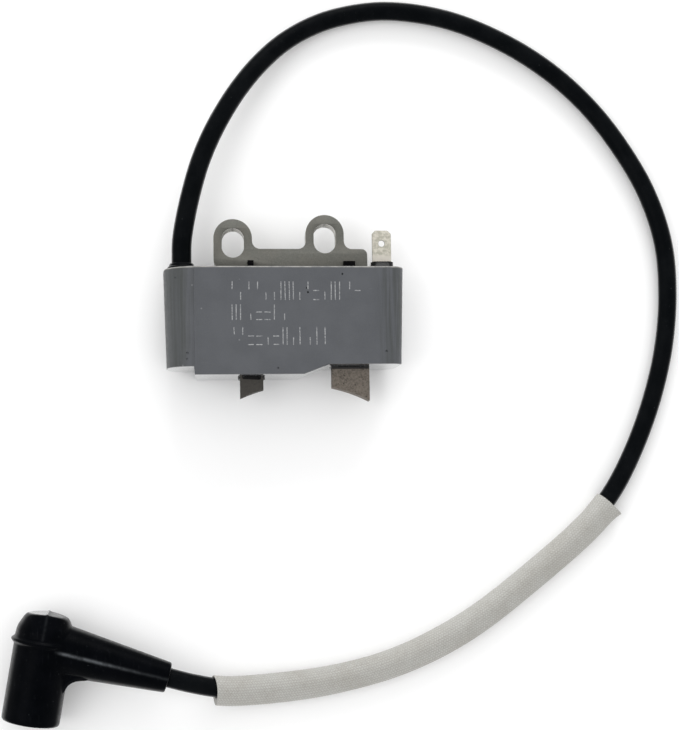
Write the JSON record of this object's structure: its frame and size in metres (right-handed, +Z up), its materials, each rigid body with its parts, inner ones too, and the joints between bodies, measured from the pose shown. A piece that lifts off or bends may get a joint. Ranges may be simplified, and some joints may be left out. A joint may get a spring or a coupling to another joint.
{
  "type": "ignition coil",
  "caption": "Small-engine ignition coil: potted cup on a laminated U core with two slotted ears, blade terminal, high-voltage lead, heat sleeve and elbow boot.",
  "frame": {"origin": "under the middle of the coil's own box, without the lead and what is on it, on the surface that the coil lies on", "axes": "+X along the cup towards the blade terminal, +Y towards the ears and the lead's exit, +Z up from the cup's back to its front"},
  "size_m": [0.2263, 0.2381, 0.024],
  "materials": {
    "grey_plastic": "satin moulded",
    "black_resin": "cast, slightly glossy",
    "core_steel": "stamped sheets, matt",
    "bobbin_plastic": "moulded",
    "enamelled_copper": "enamelled wire",
    "tinned_brass": "tin plated",
    "board_laminate": "coated laminate",
    "component_black": "moulded",
    "capacitor_film": "dipped",
    "resistor_body": "lacquered",
    "lead_rubber": "extruded, satin",
    "glass_braid": "woven glass fibre",
    "boot_rubber": "moulded, satin",
    "spring_steel": "bright wire"
  },
  "bodies": {
    "coil": {"housing": "grey_plastic", "potting": "black_resin", "core_back_plate": "core_steel", "core_stack": "core_steel", "core_front_plate": "core_steel", "primary_bobbin": "bobbin_plastic", "primary_winding": "enamelled_copper", "secondary_bobbin": "bobbin_plastic", "secondary_winding_1": "enamelled_copper", "secondary_winding_2": "enamelled_copper", "secondary_winding_3": "enamelled_copper", "secondary_winding_4": "enamelled_copper", "secondary_winding_5": "enamelled_copper", "charge_bobbin": "bobbin_plastic", "charge_winding": "enamelled_copper", "circuit_board": "board_laminate", "storage_capacitor": "capacitor_film", "thyristor": "component_black", "diode_1": "component_black", "diode_2": "component_black", "resistor": "resistor_body", "kill_wire": "component_black", "earth_strap": "tinned_brass", "kill_tab": "tinned_brass", "contact_pin": "tinned_brass", "pin_wire": "enamelled_copper", "lead_grommet": "black_resin", "high_voltage_lead": "lead_rubber", "lead_sleeve": "glass_braid"},
    "boot": {"boot_shell": "boot_rubber", "plug_spring": "spring_steel"}
  },
  "joints": [
    {"name": "boot_swivel", "type": "hinge", "parent": "coil", "child": "boot", "pos_m": [-0.0778, -0.1068, 0.011], "axis": [-0.9617, 0.274, 0], "range_deg": [0, 180]}
  ]
}
